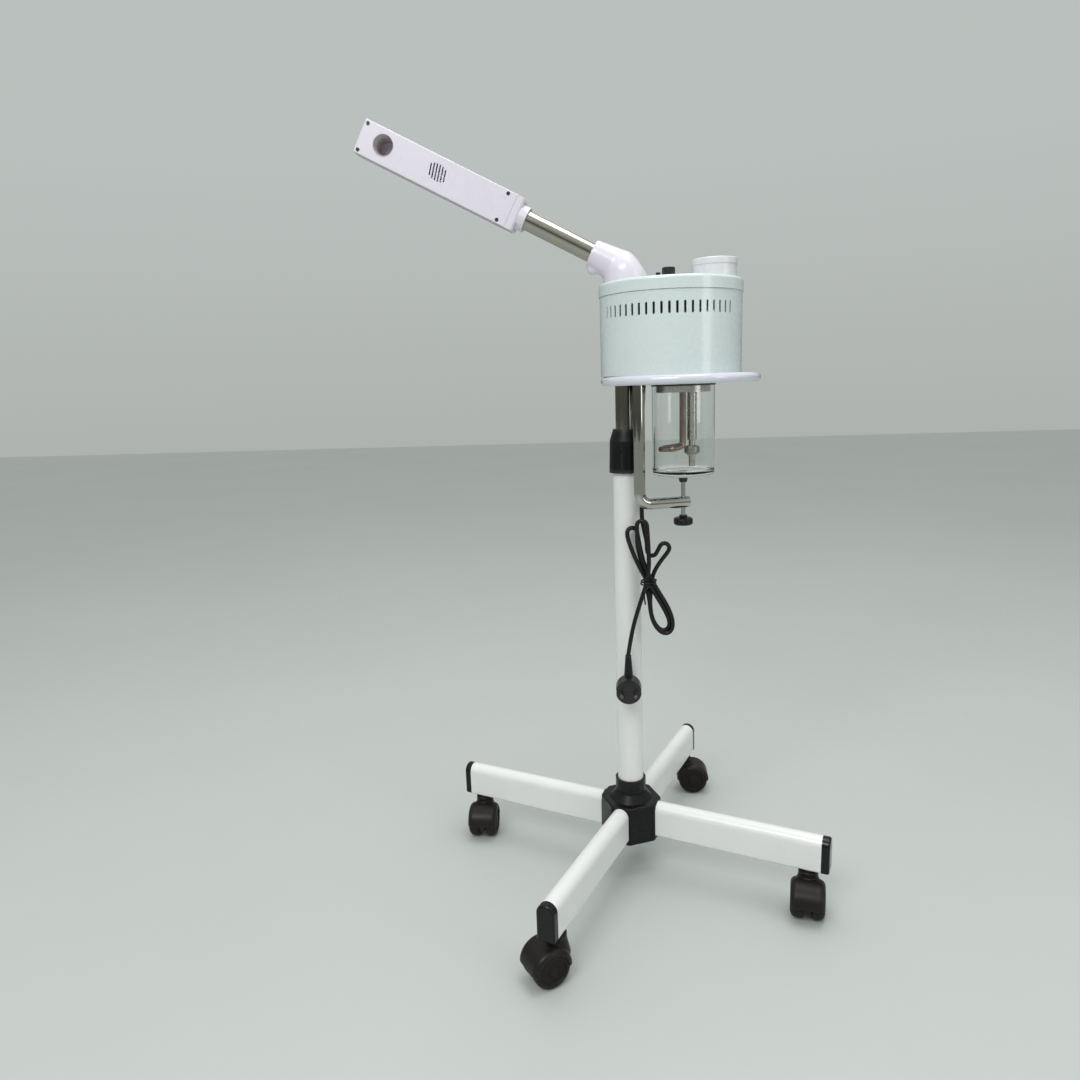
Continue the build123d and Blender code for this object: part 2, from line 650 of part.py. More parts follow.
# ---------------------------------------------------------------- steam arm
def steam_elbow():
    """Hollow swivel elbow: round base, domed body and a neck for the arm's tube."""
    base_level = LID_TOP + MOVING_GAP
    elbow = disc(ELBOW_BASE_DIAMETER, base_level, 884, ELBOW_PLACE)
    dome = Pos(*ELBOW_PLACE, 884) * Sphere(ELBOW_BASE_DIAMETER / 2)
    elbow += dome & block((-60, -60, 880), (60, 60, 960))
    neck = Cone(23.5, NECK_RADIUS, NECK_END, align=BOTTOM)
    elbow += arm_frame() * Rot(0, 90, 0) * neck
    elbow += arm_frame() * (Pos(41, 0, -17) * Sphere(8.5))
    elbow += disc(ELBOW_SPIGOT, 856, 880, ELBOW_PLACE)
    elbow -= disc(20, 850, ARM_ROOT_LEVEL, ELBOW_PLACE)
    elbow -= Pos(*ELBOW_PLACE, ARM_ROOT_LEVEL) * Sphere(10)
    elbow -= arm_frame() * arm_rod(20, 0, 24)
    return elbow - arm_frame() * arm_rod(ARM_TUBE_DIAMETER + 2 * RUNNING_GAP, 22, NECK_END + 5)


def arm_tube():
    outer = arm_rod(ARM_TUBE_DIAMETER, 22.4, 176)
    return arm_frame() * (outer - arm_rod(ARM_TUBE_DIAMETER - 2 * ARM_TUBE_WALL, 20, 180))


def arm_back_shell():
    """Tray-shaped half of the arm's box, with a shoulder, a collar and screw posts."""
    joint = BOX_FRONT - FACE_THICKNESS
    shell = block((BOX_START, BOX_BACK, -BOX_HALF_WIDTH), (BOX_END, BOX_FRONT, BOX_HALF_WIDTH))
    long_edges = shell.edges().filter_by(Axis.X).group_by(Axis.Y)[0]
    shell = fillet(long_edges, 5.0)
    shell = fillet(shell.edges().group_by(Axis.X)[0], 4.0)
    shell -= block((FACE_START, joint, -30), (BOX_END + 1, BOX_FRONT + 1, 30))
    hollow = block(
        (BOX_START + BOX_WALL, BOX_BACK + BOX_WALL, BOX_WALL - BOX_HALF_WIDTH),
        (BOX_END - BOX_WALL, joint, BOX_HALF_WIDTH - BOX_WALL),
    )
    shell -= fillet(hollow.edges().filter_by(Axis.X).group_by(Axis.Y)[0], 3.0)
    shell -= block((FACE_START, 5, BOX_WALL - BOX_HALF_WIDTH),
                   (BOX_END - BOX_WALL, joint + 1, BOX_HALF_WIDTH - BOX_WALL))
    for place in ARM_SCREW_PLACES:
        shell += face_rod(7, BOX_BACK + 1, joint, place)
    shell &= block((BOX_START, BOX_BACK, -BOX_HALF_WIDTH), (BOX_END, BOX_FRONT, BOX_HALF_WIDTH))
    shell += arm_rod(33, 149, BOX_START + 1)
    shell -= arm_rod(ARM_TUBE_DIAMETER, 140, 177)
    for place in ARM_SCREW_PLACES:
        shell -= face_rod(ARM_SCREW_DIAMETER, 3, joint + 1, place)
    return arm_frame() * shell


def arm_face_plate():
    """Flat front plate with the nozzle hole, an oval grille and four screw holes."""
    joint = BOX_FRONT - FACE_THICKNESS
    plate = block((FACE_START, joint, -BOX_HALF_WIDTH), (BOX_END, BOX_FRONT, BOX_HALF_WIDTH))
    plate = fillet(plate.edges().group_by(Axis.Y)[-1], 1.2)
    plate -= face_rod(NOZZLE_DIAMETER, joint - 1, BOX_FRONT + 1, NOZZLE_PLACE)
    slot_count = 6
    slot_pitch = 4.2
    for step in range(slot_count):
        offset = (step - (slot_count - 1) / 2) * slot_pitch
        length = 22 * math.sqrt(1 - (offset / 15) ** 2)
        slot = extrude(Plane.XZ * SlotOverall(length, 2.0, rotation=78), amount=10, both=True)
        plate -= Pos(GRILLE_PLACE[0] + offset, joint, GRILLE_PLACE[1]) * slot
    for place in ARM_SCREW_PLACES:
        plate -= face_rod(ARM_SCREW_DIAMETER, joint - 1, BOX_FRONT + 1, place)
        plate -= face_rod(5, BOX_FRONT - 1.2, BOX_FRONT + 1, place)
    return arm_frame() * plate


def arm_screws():
    """Four cross-head screws that hold the face plate."""
    screws = []
    for place in ARM_SCREW_PLACES:
        screw = face_rod(ARM_SCREW_DIAMETER, 3.5, BOX_FRONT - 1.2, place)
        screw += face_rod(5, BOX_FRONT - 1.2, BOX_FRONT + 0.3, place)
        for turn in (45, 135):
            slot = Rot(0, turn, 0) * Box(3.2, 1.4, 0.7)
            screw -= Pos(place[0], BOX_FRONT, place[1]) * slot
        screws.append(screw)
    return Compound([arm_frame() * screw for screw in screws])


def nozzle_ring():
    """Funnel-mouthed steam outlet."""
    x, z = NOZZLE_PLACE
    ring_shape = face_rod(NOZZLE_DIAMETER, 8, BOX_FRONT + 0.3, NOZZLE_PLACE)
    ring_shape += face_rod(NOZZLE_BORE + 3, BOX_BACK + BOX_WALL, 9, NOZZLE_PLACE)
    ring_shape -= face_rod(NOZZLE_BORE, BOX_BACK, BOX_FRONT + 1, NOZZLE_PLACE)
    mouth = Cone(NOZZLE_BORE / 2, NOZZLE_DIAMETER / 2 - 0.6, 8.3, align=BOTTOM)
    ring_shape -= Pos(x, BOX_FRONT - 8, z) * Rot(-90, 0, 0) * mouth
    return arm_frame() * ring_shape


def ozone_lamp():
    """Lamp tube with a base at each end, behind the grille."""
    lamp = arm_rod(11, 252, 306)
    for start in (248, 302):
        lamp += arm_rod(14, start, start + 8)
    return arm_frame() * lamp


# ---------------------------------------------------------------- lid fittings
def relief_valve_knob():
    knob = disc(17, VALVE_TOP - 12.5, VALVE_TOP, VALVE_PLACE)
    knob = fillet(knob.edges().group_by(Axis.Z)[-1], 1.5)
    knob += disc(10, LID_TOP + MOVING_GAP, VALVE_TOP - 12, VALVE_PLACE)
    knob += disc(6, LID_TOP - 8, LID_TOP + 1, VALVE_PLACE)
    for step in range(16):
        angle = math.radians(22.5 * step)
        place = (VALVE_PLACE[0] + 9.1 * math.cos(angle), VALVE_PLACE[1] + 9.1 * math.sin(angle))
        knob -= disc(2, VALVE_TOP - 13, VALVE_TOP + 1, place)
    return knob


def herb_cup():
    """Cup for herbs or scent, hung in the lid by its flange."""
    cup = disc(CUP_DIAMETER, 838, CUP_NECK_TOP, CUP_PLACE)
    cup += disc(CUP_DIAMETER + 6, LID_TOP, LID_TOP + 2.5, CUP_PLACE)
    return cup - disc(CUP_DIAMETER - 5, 840.5, CUP_NECK_TOP + 1, CUP_PLACE)


def filler_cap():
    """Two-step cap over the cup's neck."""
    foot = LID_TOP + 2.5 + MOVING_GAP
    cap = disc(CAP_DIAMETER - 2, foot, CAP_TOP - 9, CUP_PLACE)
    upper = disc(CAP_DIAMETER, CAP_TOP - 9, CAP_TOP, CUP_PLACE)
    cap += fillet(upper.edges().filter_by(GeomType.CIRCLE), 1.8)
    return cap - disc(CUP_DIAMETER + 2 * MOVING_GAP, foot - 1, CUP_NECK_TOP + 1, CUP_PLACE)


# ---------------------------------------------------------------- cord
def cord_gland():
    """Tapered strain relief under the base plate."""
    gland = cone(7.6, 10.4, GLAND_FOOT, PLATE_BOTTOM - 4, GLAND_PLACE)
    gland += disc(11, PLATE_BOTTOM - 4, PLATE_BOTTOM, GLAND_PLACE)
    return gland + disc(8, PLATE_BOTTOM, PLATE_TOP, GLAND_PLACE)


def cord_hank():
    """Outer shape of the tied figure-eight hank."""
    face = make_face(Polyline(*[(x, z) for x, z, radius in HANK_OUTLINE], close=True))
    for x, z, radius in HANK_OUTLINE:
        corner = face.vertices().sort_by_distance(Vertex(x, z, 0))[0]
        face = fillet(corner, radius)
    return extrude(Plane.XZ.offset(-HANK_BACK) * face, amount=HANK_BACK - HANK_FRONT)


def plug():
    """Round side-entry plug body with its moulded strain relief."""
    x, level = PLUG_PLACE
    body = Pos(x, PLUG_BACK, level) * Rot(90, 0, 0) * Cylinder(
        PLUG_DIAMETER / 2, PLUG_BACK - PLUG_FACE, align=BOTTOM
    )
    body = fillet(body.edges().filter_by(GeomType.CIRCLE).sort_by(Axis.Y)[-1], 5.0)
    for side in (-1, 1):
        notch = block((x + side * 18 - 2, PLUG_FACE - 1, level - 4), (x + side * 18 + 2, -40, level + 4))
        body -= notch
        hole = Pos(x + side * PIN_SPACING / 2, PLUG_FACE + 4, level) * Rot(90, 0, 0)
        body -= hole * Cylinder(PIN_ROOT_DIAMETER / 2, 16)
    relief_foot = level + PLUG_DIAMETER / 2 - 4
    return body + cone(13.5, 8, relief_foot, RELIEF_TOP, (x, TAIL_ROUTE[-1][1]))


def plug_pins():
    """Two contact pins."""
    pins = []
    for side in (-1, 1):
        pin = Cylinder(PIN_DIAMETER / 2, PIN_LENGTH, align=BOTTOM)
        pin = fillet(pin.edges().group_by(Axis.Z)[-1], 1.0)
        pin += Pos(0, 0, -10) * Cylinder(PIN_ROOT_DIAMETER / 2, 11, align=BOTTOM)
        place = Pos(PLUG_PLACE[0] + side * PIN_SPACING / 2, PLUG_FACE, PLUG_PLACE[1])
        pins.append(place * Rot(90, 0, 0) * pin)
    return Compound(pins)


# ---------------------------------------------------------------- export
def sub_parts():
    """Every node of the object, by name."""
    parts = {"base_hub": base_hub(), "leg_end_caps": leg_end_caps()}
    parts["caster_sockets"] = caster_sockets()
    parts["caster_stems"] = caster_stems()
    for index in range(LEG_COUNT):
        number = index + 1
        parts[f"leg_tube_{number}"] = leg_tube(index)
        parts[f"caster_housing_{number}"] = caster_housing(index)
        parts[f"caster_axle_{number}"] = caster_axle(index)
        parts[f"caster_wheels_{number}"] = caster_wheels(index)
    makers = (
        column_tube, column_bush, lock_collar, mast_tube, mast_socket, head_base_plate,
        housing_shell, housing_lid, lid_screws, control_panel, circuit_board, steam_hose,
        boiler_flange, jar_gasket, glass_jar, heating_element, level_probe, level_float,
        clamp_bracket, clamp_pad, clamp_screw, clamp_knob, steam_elbow, arm_tube,
        arm_back_shell, arm_face_plate, arm_screws, nozzle_ring, ozone_lamp,
        relief_valve_knob, herb_cup, filler_cap, cord_gland, cord_hank, plug, plug_pins,
    )
    for maker in makers:
        parts[maker.__name__] = maker()
    parts["power_rocker"] = rocker(-1)
    parts["ozone_rocker"] = rocker(1)
    parts["cord_drop"] = cord_tube(DROP_ROUTE, "cord_drop")
    parts["cord_tail"] = cord_tube(TAIL_ROUTE, "cord_tail")
    return {name: Pos(0, 0, -DATUM) * shape for name, shape in parts.items()}


os.makedirs("parts", exist_ok=True)
for node, shape in sub_parts().items():
    export_step(shape, f"parts/{node}.step")
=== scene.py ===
import math

import bpy
from mathutils import Matrix, Vector


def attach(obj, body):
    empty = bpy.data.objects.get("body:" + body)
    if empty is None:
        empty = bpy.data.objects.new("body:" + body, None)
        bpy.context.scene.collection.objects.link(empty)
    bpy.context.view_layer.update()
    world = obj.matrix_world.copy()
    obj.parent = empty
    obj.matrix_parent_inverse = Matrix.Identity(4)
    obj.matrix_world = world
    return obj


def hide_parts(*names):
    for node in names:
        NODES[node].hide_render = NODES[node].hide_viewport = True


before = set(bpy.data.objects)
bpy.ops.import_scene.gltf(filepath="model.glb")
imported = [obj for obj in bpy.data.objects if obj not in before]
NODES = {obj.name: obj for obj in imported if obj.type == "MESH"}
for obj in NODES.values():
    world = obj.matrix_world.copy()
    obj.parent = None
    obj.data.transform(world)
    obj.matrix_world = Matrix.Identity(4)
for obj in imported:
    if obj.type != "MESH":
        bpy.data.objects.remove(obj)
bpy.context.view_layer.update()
MM = 0.001


# ---------------------------------------------------------------- materials
NOISE_LOW, NOISE_HIGH = 0.3, 0.7  # the useful middle of a noise's values
DRIFT_DARK, DRIFT_PLAIN, DRIFT_LIGHT = 0.25, 0.5, 0.78  # drift noise at which the tint is so
COAT_ROUGHNESS = 0.08
DIRT_SCALE, GLOSS_SCALE = 9.0, 60.0
DIRT_FROM, DIRT_FULL = 0.55, 0.8  # patch noise where dust begins, and where it is full
EDGE_FROM, EDGE_FULL = 0.5, 0.62  # pointiness of a flat face, and of a fully worn edge
GLASS_IOR = 1.47
RIPPLE_SCALE, RIPPLE_STRETCH, RIPPLE_HEIGHT = 45.0, (1, 1, 0.35), 0.12 * MM


def new_material(name):
    """Empty node material with one Principled shader."""
    material = bpy.data.materials.new(name)
    material.use_nodes = True
    tree = material.node_tree
    return material, tree, tree.nodes["Principled BSDF"]


def object_noise(tree, scale, detail, roughness, stretch=(1, 1, 1)):
    """Noise in the object's own coordinates, so it stays put when the piece moves."""
    place = tree.nodes.new("ShaderNodeTexCoord")
    mapping = tree.nodes.new("ShaderNodeMapping")
    mapping.inputs["Scale"].default_value = stretch
    noise = tree.nodes.new("ShaderNodeTexNoise")
    noise.inputs["Scale"].default_value = scale
    noise.inputs["Detail"].default_value = detail
    noise.inputs["Roughness"].default_value = roughness
    tree.links.new(place.outputs["Object"], mapping.inputs["Vector"])
    tree.links.new(mapping.outputs["Vector"], noise.inputs["Vector"])
    return noise


def ramp(tree, source, stops):
    """Colour ramp over a 0 to 1 source."""
    node = tree.nodes.new("ShaderNodeValToRGB")
    while len(node.color_ramp.elements) < len(stops):
        node.color_ramp.elements.new(0.5)
    for element, (position, colour) in zip(node.color_ramp.elements, stops):
        element.position = position
        element.color = (*colour, 1.0)
    tree.links.new(source, node.inputs["Fac"])
    return node


def spread(tree, source, low, high):
    """Map a noise's useful middle range to low..high."""
    node = tree.nodes.new("ShaderNodeMapRange")
    node.inputs["From Min"].default_value = NOISE_LOW
    node.inputs["From Max"].default_value = NOISE_HIGH
    node.inputs["To Min"].default_value = low
    node.inputs["To Max"].default_value = high
    tree.links.new(source, node.inputs["Value"])
    return node


def overlay(tree, tint, colour, mask):
    """Lay one plain colour over a tint wherever the mask is bright."""
    mix = tree.nodes.new("ShaderNodeMixRGB")
    mix.inputs["Color2"].default_value = (*colour, 1.0)
    tree.links.new(mask.outputs["Color"], mix.inputs["Fac"])
    tree.links.new(tint, mix.inputs["Color1"])
    return mix.outputs["Color"]


def roughen(tree, shader, noise, height):
    """Drive the shader's normal from a noise, as bumps of this height in metres."""
    bump = tree.nodes.new("ShaderNodeBump")
    bump.inputs["Distance"].default_value = height
    tree.links.new(noise.outputs["Fac"], bump.inputs["Height"])
    tree.links.new(bump.outputs["Normal"], shader.inputs["Normal"])


def shade(colour, factor):
    """The colour made darker or lighter, kept within 1."""
    return tuple(min(1.0, channel * factor) for channel in colour)


def surface(name, colour, rough=(0.3, 0.4), metallic=0.0, coat=0.0, mottle=0.05, mottle_scale=18.0,
            grain=900.0, grain_height=0.04, stretch=(1, 1, 1), specular=0.5, wear=None, dirt=None):
    """Base colour that drifts, uneven gloss, fine grain, and lighter edges or dust if asked.

    rough is the range of the roughness. grain_height is in millimetres. wear and dirt are each a colour and
    how much of it shows at most.
    """
    material, tree, shader = new_material(name)
    shader.inputs["Metallic"].default_value = metallic
    shader.inputs["Coat Weight"].default_value = coat
    shader.inputs["Coat Roughness"].default_value = COAT_ROUGHNESS
    shader.inputs["Specular IOR Level"].default_value = specular
    drift = object_noise(tree, mottle_scale, detail=5.0, roughness=0.6, stretch=stretch)
    base = ramp(tree, drift.outputs["Fac"], (
        (DRIFT_DARK, shade(colour, 1.0 - mottle)), (DRIFT_PLAIN, colour),
        (DRIFT_LIGHT, shade(colour, 1.0 + mottle))))
    tint = base.outputs["Color"]
    if dirt:
        dust, most = dirt
        patch = object_noise(tree, DIRT_SCALE, detail=8.0, roughness=0.7)
        mask = ramp(tree, patch.outputs["Fac"], ((DIRT_FROM, (0, 0, 0)), (DIRT_FULL, (most,) * 3)))
        tint = overlay(tree, tint, dust, mask)
    if wear:
        worn, most = wear
        geometry = tree.nodes.new("ShaderNodeNewGeometry")
        mask = ramp(tree, geometry.outputs["Pointiness"], ((EDGE_FROM, (0, 0, 0)), (EDGE_FULL, (most,) * 3)))
        tint = overlay(tree, tint, worn, mask)
    tree.links.new(tint, shader.inputs["Base Color"])
    gloss = object_noise(tree, GLOSS_SCALE, detail=6.0, roughness=0.65, stretch=stretch)
    tree.links.new(spread(tree, gloss.outputs["Fac"], *rough).outputs["Result"], shader.inputs["Roughness"])
    fine = object_noise(tree, grain, detail=3.0, roughness=0.5, stretch=stretch)
    roughen(tree, shader, fine, grain_height * MM)
    return material


def glass(name, colour, rough):
    """Clear blown glass with a slow ripple."""
    material, tree, shader = new_material(name)
    shader.inputs["Base Color"].default_value = (*colour, 1.0)
    shader.inputs["Roughness"].default_value = rough
    shader.inputs["IOR"].default_value = GLASS_IOR
    shader.inputs["Transmission Weight"].default_value = 1.0
    ripple = object_noise(tree, RIPPLE_SCALE, detail=2.0, roughness=0.5, stretch=RIPPLE_STRETCH)
    roughen(tree, shader, ripple, RIPPLE_HEIGHT)
    return material


BLACK = (0.0055, 0.0055, 0.006)
MATERIALS = {made.name.split(".")[0]: made for made in (
    surface("hub_black", BLACK, (0.22, 0.34), grain=700, grain_height=0.02, specular=0.22,
            wear=((0.03, 0.03, 0.03), 0.3), mottle=0.2),
    surface("cap_black", BLACK, (0.12, 0.22), grain=300, grain_height=0.01, specular=0.3, mottle=0.2),
    surface("bush_plastic", (0.05, 0.05, 0.055), (0.4, 0.5)),
    surface("plain_steel", (0.46, 0.45, 0.43), (0.25, 0.42), metallic=1.0, mottle=0.12),
    surface("leg_white", (0.80, 0.81, 0.80), (0.28, 0.4), mottle=0.025, coat=0.25,
            grain=600, grain_height=0.014, dirt=((0.52, 0.52, 0.49), 0.3)),
    surface("column_white", (0.79, 0.80, 0.79), (0.28, 0.4), mottle=0.02, coat=0.25,
            grain=600, grain_height=0.014, dirt=((0.56, 0.56, 0.53), 0.22)),
    surface("collar_black", BLACK, (0.32, 0.45), grain=1200, grain_height=0.03, specular=0.2,
            wear=((0.07, 0.07, 0.07), 0.5), mottle=0.2),
    surface("chrome_tube", (0.40, 0.385, 0.33), (0.06, 0.15), metallic=1.0, mottle=0.05,
            grain=500, grain_height=0.006, stretch=(1, 1, 0.05)),
    surface("chrome_bar", (0.48, 0.475, 0.44), (0.03, 0.09), metallic=1.0, mottle=0.04,
            grain=260, grain_height=0.006),
    surface("plate_white", (0.70, 0.71, 0.80), (0.14, 0.18), mottle=0.02, coat=0.6,
            grain=160, grain_height=0.014),
    surface("housing_paint", (0.68, 0.765, 0.765), (0.26, 0.29), mottle=0.015, coat=0.5,
            grain=240, grain_height=0.012),
    surface("caster_black", (0.012, 0.0095, 0.009), (0.34, 0.46), grain=1500, grain_height=0.03,
            specular=0.22, wear=((0.045, 0.038, 0.035), 0.5), mottle=0.3, dirt=((0.035, 0.029, 0.026), 0.4)),
    surface("wheel_black", (0.014, 0.011, 0.010), (0.42, 0.6), grain=1500, grain_height=0.03,
            specular=0.2, mottle=0.35, dirt=((0.05, 0.043, 0.038), 0.55)),
    surface("dark_screws", (0.05, 0.05, 0.055), (0.25, 0.4), metallic=0.8, mottle=0.2),
    surface("panel_plastic", (0.62, 0.68, 0.69), grain=1500),
    surface("rocker_black", BLACK, (0.2, 0.32), mottle=0.2),
    surface("board_green", (0.02, 0.12, 0.05), (0.3, 0.45), mottle=0.3, mottle_scale=120),
    surface("hose_silicone", (0.62, 0.60, 0.55), (0.4, 0.55)),
    surface("stainless", (0.50, 0.48, 0.44), (0.18, 0.32), metallic=1.0, mottle=0.15,
            grain=700, grain_height=0.02),
    surface("gasket_rubber", (0.03, 0.03, 0.03), (0.5, 0.6)),
    glass("jar_glass", (0.965, 0.985, 0.975), 0.0),
    surface("heater_sheath", (0.27, 0.20, 0.165), (0.25, 0.45), metallic=1.0, mottle=0.35,
            mottle_scale=60, dirt=((0.40, 0.34, 0.30), 0.6)),
    surface("float_steel", (0.32, 0.31, 0.28), (0.25, 0.4), metallic=1.0, mottle=0.25),
    surface("pad_rubber", (0.03, 0.03, 0.03), (0.5, 0.65)),
    surface("knob_black", BLACK, (0.28, 0.42), specular=0.25, wear=((0.08, 0.08, 0.08), 0.5)),
    surface("arm_plastic", (0.74, 0.70, 0.79), (0.26, 0.30), mottle=0.015, coat=0.3,
            grain=240, grain_height=0.012),
    # nozzle_plastic: the nozzle's own pinkish tint, made darker than the arm's plastic as painted shade for
    # the inside of its hole
    surface("nozzle_plastic", (0.52, 0.46, 0.48), (0.2, 0.3), mottle=0.03),
    glass("lamp_glass", (0.8, 0.85, 0.95), 0.1),
    surface("cup_plastic", (0.70, 0.70, 0.72)),
    surface("cap_white", (0.72, 0.715, 0.74), (0.22, 0.32), mottle=0.02, coat=0.3,
            grain=300, grain_height=0.012),
    surface("cord_black", (0.008, 0.008, 0.0085), (0.32, 0.46), grain=1800, grain_height=0.02,
            mottle=0.25, specular=0.3),
    surface("plug_black", (0.007, 0.007, 0.0075), (0.28, 0.42), grain_height=0.03, specular=0.3,
            wear=((0.06, 0.06, 0.06), 0.5), mottle=0.25),
    surface("pin_nickel", (0.16, 0.15, 0.13), (0.35, 0.45), metallic=1.0, mottle=0.08),
)}


def dress_nodes():
    """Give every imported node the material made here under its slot's name."""
    for node in NODES.values():
        for place in node.material_slots:
            slot = place.material.name.split(".")[0] if place.material else ""
            if slot in MATERIALS:
                place.material = MATERIALS[slot]


# ---------------------------------------------------------------- camera
CAMERA_PLACE = (0.0, -1.13821, 0.734396)
CAMERA_RIGHT = (0.995062, 0.093623, -0.032968)
CAMERA_UP = (0.013879, 0.197642, 0.980176)
CAMERA_AHEAD = (-0.098283, 0.975793, -0.195367)
SENSOR_WIDTH, LENS = 36.0, 26.978  # millimetres
LENS_SHIFT = (-0.00694, 0.00429)
CLIP_START = 0.02


def set_camera():
    """Camera fitted to the photo; it looks along its own -z."""
    camera = bpy.data.objects.new("camera", bpy.data.cameras.new("camera"))
    camera.data.sensor_width = SENSOR_WIDTH
    camera.data.lens = LENS
    camera.data.shift_x, camera.data.shift_y = LENS_SHIFT
    camera.data.clip_start = CLIP_START
    turn = Matrix((CAMERA_RIGHT, CAMERA_UP, -Vector(CAMERA_AHEAD))).transposed()
    camera.matrix_world = Matrix.Translation(CAMERA_PLACE) @ turn.to_4x4()
    bpy.context.scene.collection.objects.link(camera)
    bpy.context.scene.camera = camera


# ---------------------------------------------------------------- cord
CORD_DIAMETER = 0.006
DROP = (
    (0.022, -0.020, 0.694), (0.0226, -0.019, 0.661), (0.0224, -0.018, 0.621), (0.021, -0.0185, 0.581),
    (0.020, -0.024, 0.547),
)
SIDE_LOOP = (
    (0.0235, -0.0278, 0.529), (0.0270, -0.0282, 0.514), (0.0270, -0.0282, 0.501), (0.0295, -0.0283, 0.4959),
    (0.0342, -0.0286, 0.4941), (0.0385, -0.029, 0.4959), (0.0420, -0.0298, 0.5025), (0.0458, -0.0304, 0.5105),
    (0.0499, -0.0308, 0.5126), (0.0544, -0.0308, 0.5117), (0.0574, -0.0308, 0.5082),
    (0.0576, -0.0308, 0.5024), (0.0478, -0.0304, 0.490), (0.040, -0.0298, 0.4785), (0.0345, -0.0287, 0.466),
)
FIRST_LOWER_LOOP = (
    (0.032, -0.0282, 0.453), (0.031, -0.0282, 0.437), (0.0308, -0.0282, 0.421), (0.033, -0.0282, 0.405),
    (0.039, -0.0282, 0.3925), (0.047, -0.0287, 0.386), (0.0555, -0.030, 0.3885), (0.058, -0.0315, 0.399),
    (0.0535, -0.033, 0.412), (0.0465, -0.0339, 0.4255), (0.039, -0.0339, 0.4385),
)
LEFT_LOOP = (
    (0.0315, -0.0339, 0.451), (0.0245, -0.0339, 0.463), (0.018, -0.0339, 0.476), (0.011, -0.0339, 0.491),
    (0.0048, -0.0336, 0.507), (0.0006, -0.033, 0.520), (-0.0004, -0.0322, 0.5287), (0.0020, -0.0315, 0.5333),
    (0.0061, -0.0307, 0.5349), (0.0104, -0.0298, 0.5338), (0.0132, -0.0290, 0.5304), (0.0134, -0.0284, 0.521),
    (0.0140, -0.0282, 0.508), (0.0168, -0.0282, 0.494), (0.021, -0.0282, 0.478), (0.0245, -0.0284, 0.461),
)
SECOND_LOWER_LOOP = (
    (0.027, -0.0306, 0.445), (0.0298, -0.0336, 0.430), (0.031, -0.0341, 0.415), (0.0345, -0.0341, 0.4005),
    (0.0415, -0.0341, 0.3885), (0.051, -0.0341, 0.3825), (0.060, -0.0341, 0.3865), (0.0625, -0.0341, 0.398),
    (0.059, -0.0341, 0.413), (0.0525, -0.0339, 0.427), (0.0455, -0.0339, 0.439),
)
MIDDLE_LOOP = (
    (0.0385, -0.0339, 0.451), (0.0315, -0.0339, 0.4635), (0.025, -0.0339, 0.477), (0.0205, -0.0339, 0.492),
    (0.0172, -0.0341, 0.508), (0.0147, -0.0348, 0.522), (0.0131, -0.0354, 0.532), (0.0131, -0.036, 0.5406),
    (0.0157, -0.0366, 0.5442), (0.0200, -0.0373, 0.5456), (0.0243, -0.038, 0.5442), (0.0269, -0.0387, 0.5406),
    (0.0276, -0.0393, 0.530), (0.0284, -0.0395, 0.515), (0.029, -0.0395, 0.500), (0.0293, -0.0395, 0.485),
    (0.028, -0.0395, 0.470), (0.0245, -0.0392, 0.4535),
)
TAIL = (
    (0.0185, -0.0388, 0.435), (0.0103, -0.0386, 0.409), (0.0036, -0.0384, 0.382), (-0.001, -0.038, 0.353),
)


def nurbs(name, points, radius):
    """Smooth black tube on one open NURBS spline."""
    curve = bpy.data.curves.new(name, "CURVE")
    curve.dimensions = "3D"
    spline = curve.splines.new("NURBS")
    spline.points.add(len(points) - 1)
    for control, place in zip(spline.points, points):
        control.co = (*place, 1.0)
    spline.order_u = 3
    spline.use_endpoint_u = True
    spline.resolution_u = 8
    curve.bevel_depth = radius
    curve.bevel_resolution = 5
    curve.use_fill_caps = True
    curve.materials.append(MATERIALS["cord_black"])
    piece = bpy.data.objects.new(name, curve)
    bpy.context.scene.collection.objects.link(piece)
    return piece


TIE_RADIUS = 0.0011
TIE_WAIST = (0.0292, -0.0339, 0.4615)
TIE_REACH = (0.0105, 0.0108)  # half width and half depth of the winding
TIE_STEPS, TIE_STEP_ANGLE, TIE_START_ANGLE = 24, 30, -60  # two turns, in degrees
TIE_FALL, TIE_LEAN = 0.0065, 0.2  # how far the winding drops, and its shift to the left per metre dropped
TIE_ENDS = (
    (0.0245, -0.0451, 0.4515), (0.0222, -0.0464, 0.4435), (0.0226, -0.0461, 0.435), (0.0238, -0.0448, 0.4285),
)


def add_tie():
    """Wire tie wound twice round the waist of the hank, with its twisted end hanging down."""
    points = []
    for step in range(TIE_STEPS + 1):
        angle = math.radians(TIE_STEP_ANGLE * step + TIE_START_ANGLE)
        drop = TIE_FALL * step / TIE_STEPS
        points.append((TIE_WAIST[0] + TIE_REACH[0] * math.cos(angle) - TIE_LEAN * drop,
                       TIE_WAIST[1] + TIE_REACH[1] * math.sin(angle), TIE_WAIST[2] - drop))
    points.extend(TIE_ENDS)
    tie = nurbs("cord_tie", points, TIE_RADIUS)
    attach(tie, "head")
    return tie


def add_cord():
    """The cord from the gland, through the tied hank, to the plug."""
    route = DROP + SIDE_LOOP + FIRST_LOWER_LOOP + LEFT_LOOP + SECOND_LOWER_LOOP + MIDDLE_LOOP + TAIL
    cord = nurbs("power_cord", route, CORD_DIAMETER / 2)
    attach(cord, "head")
    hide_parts("cord_drop", "cord_hank", "cord_tail")
    tie = add_tie()


